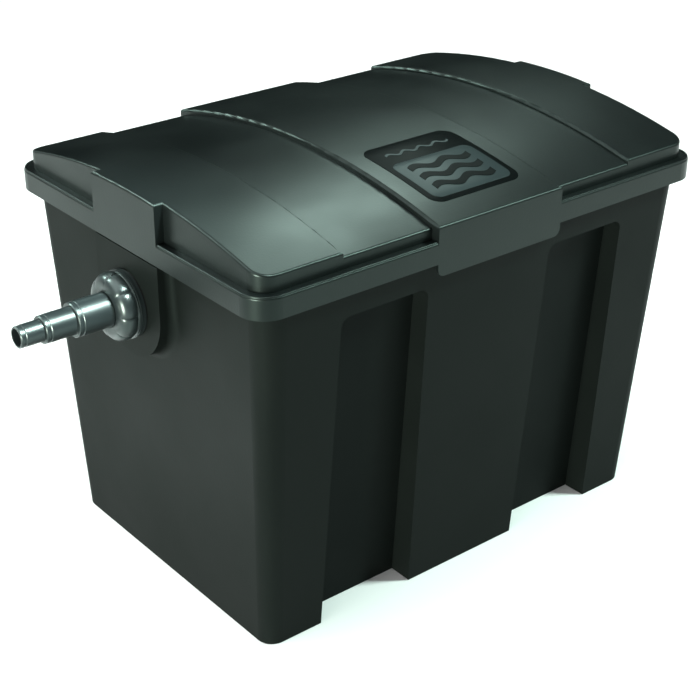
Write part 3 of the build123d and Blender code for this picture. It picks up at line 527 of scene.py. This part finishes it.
# Two wires of 2.4 mm, twisted once every 14 mm, which end in a ring round the rail.
wires = bmesh.new()
wire_r, lay, wire_start, wire_stop = 0.0012, 0.014, 0.0015, 0.0035
steps_a_turn = 10
for start in (0.0, pi):
    bm = bmesh.new()
    bmesh.ops.create_circle(bm, segments=6, radius=wire_r)
    bmesh.ops.rotate(bm, verts=bm.verts, matrix=Matrix.Rotation(pi / 3, 3, "X"))
    bmesh.ops.translate(bm, verts=bm.verts, vec=(wire_r, 0, brush_low.z + wire_start))
    bmesh.ops.rotate(bm, verts=bm.verts, matrix=Matrix.Rotation(start, 3, "Z"))
    turns = (rail_low.z - wire_stop - brush_low.z) / lay
    bmesh.ops.spin(
        bm, geom=bm.edges[:], cent=(0, 0, 0), axis=(0, 0, 1),
        dvec=(0, 0, lay / steps_a_turn), angle=2 * pi * turns, steps=int(turns * steps_a_turn))
    bmesh.ops.holes_fill(bm, edges=[e for e in bm.edges if e.is_boundary], sides=6)
    bmesh.ops.recalc_face_normals(bm, faces=bm.faces)
    strand = bpy.data.meshes.new("strand")
    bm.to_mesh(strand)
    wires.from_mesh(strand)
wire_mesh = bpy.data.meshes.new("brush_wires")
wires.to_mesh(wire_mesh)

brush_turn, ring_gap = 1.1, 0.0004
for number in range(1, 6):
    low, high = (Vector(corner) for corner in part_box(f"filter_brush_{number}"))
    at = ((low.x + high.x) / 2, (low.y + high.y) / 2, 0)
    bm = bmesh.new()
    bm.from_mesh(bristle_mesh)
    bmesh.ops.rotate(bm, verts=bm.verts, matrix=Matrix.Rotation(number * brush_turn, 3, "Z"))
    bmesh.ops.translate(bm, verts=bm.verts, vec=at)
    bristle_coat = piece(f"brush_{number}_bristles", bm, bristle_green)
    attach(bristle_coat, "tank")
    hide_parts(f"filter_brush_{number}")
    bm = bmesh.new()
    bm.from_mesh(wire_mesh)
    bmesh.ops.translate(bm, verts=bm.verts, vec=at)
    core = piece(f"brush_{number}_wire", bm, drawn_stainless)
    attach(core, "tank")
    bm = bmesh.new()
    bmesh.ops.create_circle(bm, segments=8, radius=wire_r)
    ring_r = (rail_high.z - rail_low.z) / 2 + wire_r + ring_gap
    bmesh.ops.translate(bm, verts=bm.verts, vec=(ring_r, 0, 0))
    bmesh.ops.rotate(bm, verts=bm.verts, matrix=Matrix.Rotation(pi / 2, 3, "X"))
    bmesh.ops.spin(
        bm, geom=bm.edges[:], cent=(0, 0, 0), axis=(0, 0, 1), angle=2 * pi, steps=28, use_merge=True)
    bmesh.ops.rotate(bm, verts=bm.verts, matrix=Matrix.Rotation(pi / 2, 3, "X"))
    bmesh.ops.translate(bm, verts=bm.verts, vec=(at[0], at[1], (rail_low.z + rail_high.z) / 2))
    bmesh.ops.recalc_face_normals(bm, faces=bm.faces)
    loop = piece(f"brush_{number}_loop", bm, drawn_stainless)
    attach(loop, "tank")


# === Support grids and combs ======================================================================
# Slatted plates on four legs hold the media off the floor, and two notched combs space the mats.
# All are moulded in black polypropylene, whose 0.5 mm texture is drawn at 1.5 mm.
black_grid = moulded_polymer(
    "black_polypropylene", "#131415", "#1A1B1C", 0.46, 0.45, "#FFFFFF", 0.0015, 0.00008)
for name in ("mat_support_grid", "mat_grid_legs", "ball_support_grid", "ball_grid_legs",
             "front_mat_comb", "rear_mat_comb"):
    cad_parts[name].data.materials[0] = black_grid


# === Filter mats ==================================================================================
# Five upright boards cut from soft sheet: blue open-cell foam of about 20 cells to the inch, and
# between them green matting of bonded fibres. The knife leaves square edges, which wear round.
def mat_stuff(name, dark, pale, cell, stretch, depth):
    """Foam cells, or fibres where stretch draws the cells out across the mat; the hollows are coloured
    darker as painted shade.
    """
    material, tree = blank(name)
    place = shader(tree, "ShaderNodeTexCoord").outputs["Object"]
    drawn = shader(
        tree, "ShaderNodeMapping", {"Vector": place, "Scale": (1 / cell, 1 / (cell * stretch), 1 / cell)})
    cells = shader(tree, "ShaderNodeTexVoronoi", {"Vector": drawn.outputs[0], "Scale": 1.0})
    patch = shader(tree, "ShaderNodeTexNoise", {"Vector": place, "Scale": 1 / 0.04, "Detail": 3.0})
    pit_depth_and_shade = shader(
        tree, "ShaderNodeMapRange",
        {"Value": cells.outputs["Distance"], "From Min": 0.15, "From Max": 0.7})
    # Painted shade: the cells' hollows, sunk by the bump, are coloured dark, and the web between them is
    # pale.
    cell_shade_painted = shader(
        tree, "ShaderNodeMix", {0: pit_depth_and_shade.outputs[0], 6: linear(dark), 7: linear(pale)}, data_type="RGBA")
    faded_with_cell_shade = shader(
        tree, "ShaderNodeMix", {0: 0.25, 6: cell_shade_painted.outputs[2], 7: patch.outputs[0]},
        data_type="RGBA", blend_type="SOFT_LIGHT")
    bump = shader(
        tree, "ShaderNodeBump", {"Height": pit_depth_and_shade.outputs[0], "Strength": 0.8, "Distance": depth})
    skin = shader(
        tree, "ShaderNodeBsdfPrincipled",
        {"Base Color": faded_with_cell_shade.outputs[2], "Roughness": 0.9, "Specular IOR Level": 0.2,
         "Sheen Weight": 0.3, "Sheen Roughness": 0.5, "Normal": bump.outputs[0]},
    )
    shader(tree, "ShaderNodeOutputMaterial", {"Surface": skin.outputs[0]})
    return material


# Foam: cells of 1.3 mm, their hollows painted dark as painted shade, in a paler blue web, drawn at 2.4 mm
# so that they show.
blue_foam = mat_stuff("blue_open_cell_foam", "#0D2A5C", "#2F63B4", 0.0024, 1.0, 0.0010)
# Matting: green fibres of 0.2 mm, bonded where they cross, drawn as 1.2 mm strands, with painted shade in
# the gaps between them.
green_matting = mat_stuff("green_bonded_fibre", "#1F4A2A", "#5E9C66", 0.0012, 7.0, 0.0008)
mat_round, mat_cell = 0.0028, 0.006  # the worn edges, and the spacing of the cuts across a face
for number in range(1, 6):
    low, high = (Vector(corner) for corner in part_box(f"filter_mat_{number}"))
    size, middle = high - low, (high + low) / 2
    bm = bmesh.new()
    bmesh.ops.create_cube(bm, size=1)
    bmesh.ops.scale(bm, verts=bm.verts, vec=size)
    bmesh.ops.bevel(
        bm, geom=bm.edges[:], offset=mat_round, segments=3, profile=0.5, affect="EDGES", material=-1)
    for axis in (1, 2):
        normal = Vector((0, axis == 1, axis == 2))
        cuts = int(size[axis] / mat_cell)
        for i in range(1, cuts):
            bmesh.ops.bisect_plane(
                bm, geom=bm.verts[:] + bm.edges[:] + bm.faces[:],
                plane_co=normal * size[axis] * (i / cuts - 0.5), plane_no=normal)
    draw = Random(20 + number)
    lean, phase = draw.uniform(0.0004, 0.0007), draw.uniform(0, 2 * pi)
    for v in bm.verts:
        edge_y = 1 - (2 * abs(v.co.y) / size.y) ** 6
        edge_z = 1 - (2 * abs(v.co.z) / size.z) ** 6
        soft = 0.0006 * sin(v.co.y / 0.011 + phase) * sin(v.co.z / 0.013 + 2 * phase)
        v.co.x -= (0.0013 - lean * edge_y * edge_z + soft * 0.6) * (1 if v.co.x > 0 else -1)
        v.co.z -= 0.0004 * (v.co.z > 0.4 * size.z) * (1 + sin(v.co.y / 0.007 + phase))
    bmesh.ops.translate(bm, verts=bm.verts, vec=middle)
    foam = number % 2 == 1
    kind, stuff = ("foam", blue_foam) if foam else ("fibre", green_matting)
    mat = piece(f"{kind}_mat_{number}", bm, stuff, smooth=70)
    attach(mat, "tank")
    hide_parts(f"filter_mat_{number}")


# === Ball bag =====================================================================================
# A white net bag of hollow plastic filter balls, which bacteria grow on. The balls pack loosely in
# rows, and the bag lies on its grid.
bag_low, bag_high = (Vector(corner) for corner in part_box("ball_bag"))
bag_size, bag_mid = bag_high - bag_low, (bag_high + bag_low) / 2
# Injection-moulded polypropylene balls, off-white and slightly clouded.
ball_white = moulded_polymer(
    "off_white_polypropylene", "#9A9C98", "#B4B5B0", 0.4, 0.5, "#FFFFFF", 0.0020, 0.00008)
ball_r, ball_rib, ball_hollow = 0.0185, 0.0022, 0.22  # the ribs' half width, and how deep they stand
rows = (3, 8, 6)
ball = bmesh.new()
bmesh.ops.create_icosphere(ball, subdivisions=1, radius=ball_r)
webs = bmesh.ops.inset_individual(ball, faces=ball.faces[:], thickness=ball_rib, depth=0.0)["faces"]
for face in [f for f in ball.faces if f not in webs]:
    inward = face.calc_center_median() * -ball_hollow
    bmesh.ops.translate(ball, verts=face.verts[:], vec=inward)
ball_mesh = bpy.data.meshes.new("filter_ball")
ball.to_mesh(ball_mesh)
draw = Random(31)
bm = bmesh.new()
room = bag_size - Vector((0.005, 0.005, 0.005))
shaken = 0.0004
for row in product(*(range(count) for count in rows)):
    at = Vector(((n + 0.5) / count - 0.5) * wide for n, count, wide in zip(row, rows, room))
    at += Vector(draw.uniform(-shaken, shaken) for axis in range(3))
    turned = Matrix.Rotation(draw.uniform(0, pi), 4, (draw.uniform(-1, 1), draw.uniform(-1, 1), 1))
    fresh = len(bm.verts)
    bm.from_mesh(ball_mesh)
    bm.verts.ensure_lookup_table()
    bmesh.ops.transform(
        bm, verts=bm.verts[fresh:], matrix=Matrix.Translation(bag_mid + at) @ turned)
balls = piece("filter_balls", bm, ball_white, smooth=1)
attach(balls, "tank")

# White polyethylene net of 1.4 mm cord in 14 mm meshes; its fine grain is drawn at 1 mm.
net_white = moulded_polymer(
    "white_polyethylene_net", "#B9BBB7", "#CFD0CB", 0.6, 0.4, "#FFFFFF", 0.0010, 0.00010)
bm = bmesh.new()
net_round, net_mesh, net_cord = 0.016, 0.014, 0.0014
bmesh.ops.create_cube(bm, size=1)
bmesh.ops.scale(bm, verts=bm.verts, vec=bag_size - Vector((0.004, 0.004, 0.004)))
bmesh.ops.bevel(
    bm, geom=bm.edges[:], offset=net_round, segments=2, profile=0.5, affect="EDGES", material=-1)
for axis in (0, 1, 2):
    normal = Vector((axis == 0, axis == 1, axis == 2))
    cuts = int(bag_size[axis] / net_mesh)
    for i in range(1, cuts):
        bmesh.ops.bisect_plane(
            bm, geom=bm.verts[:] + bm.edges[:] + bm.faces[:],
            plane_co=normal * bag_size[axis] * (i / cuts - 0.5), plane_no=normal)
for v in bm.verts:
    v.co += Vector((sin(v.co.y / 0.0065), sin(v.co.z / 0.0067), sin(v.co.y / 0.0065) * 0.8)) * 0.0006
bmesh.ops.wireframe(
    bm, faces=bm.faces[:], thickness=net_cord, offset=0.0, use_replace=True, use_even_offset=False)
bmesh.ops.translate(bm, verts=bm.verts, vec=bag_mid)
bmesh.ops.recalc_face_normals(bm, faces=bm.faces)
net = piece("ball_net", bm, net_white, smooth=60)
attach(net, "tank")
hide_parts("ball_bag")


# === Drain ========================================================================================
# A flanged connector clamped through the pad on the outlet's wall, a ball valve pushed on its end,
# and a screwed cap. Grey uPVC, with a white ball in PTFE seats and a red lever.
# Injection-moulded uPVC is smoother than the pipe's, and a shade darker.
moulded_upvc = moulded_polymer(
    "grey_moulded_upvc", "#2A2E31", "#32363A", 0.36, 0.5, "#FFFFFF", 0.0015, 0.00005)
for name in ("drain_connector", "drain_locknut", "valve_body", "drain_cap"):
    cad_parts[name].data.materials[0] = moulded_upvc
# PTFE is waxy and white; its turned lines are too fine to see and are drawn as a 1 mm grain.
ptfe = moulded_polymer("white_ptfe", "#D8D8D2", "#E2E2DC", 0.5, 0.35, "#FFFFFF", 0.0010, 0.00004)
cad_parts["valve_seats"].data.materials[0] = ptfe
# Acetal moulds with a slick face, creamier than PTFE.
acetal = moulded_polymer("cream_acetal", "#C4C3BA", "#CFCEC5", 0.3, 0.5, "#FFFFFF", 0.0012, 0.00003)
for name in ("valve_ball", "valve_stem"):
    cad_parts[name].data.materials[0] = acetal
# The lever is ABS moulded in signal red, satin, and a little chalky where the sun has reached it.
red_abs = moulded_polymer("red_abs", "#8E1712", "#A3211A", 0.38, 0.45, "#FFFFFF", 0.0014, 0.00005)
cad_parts["valve_lever"].data.materials[0] = red_abs
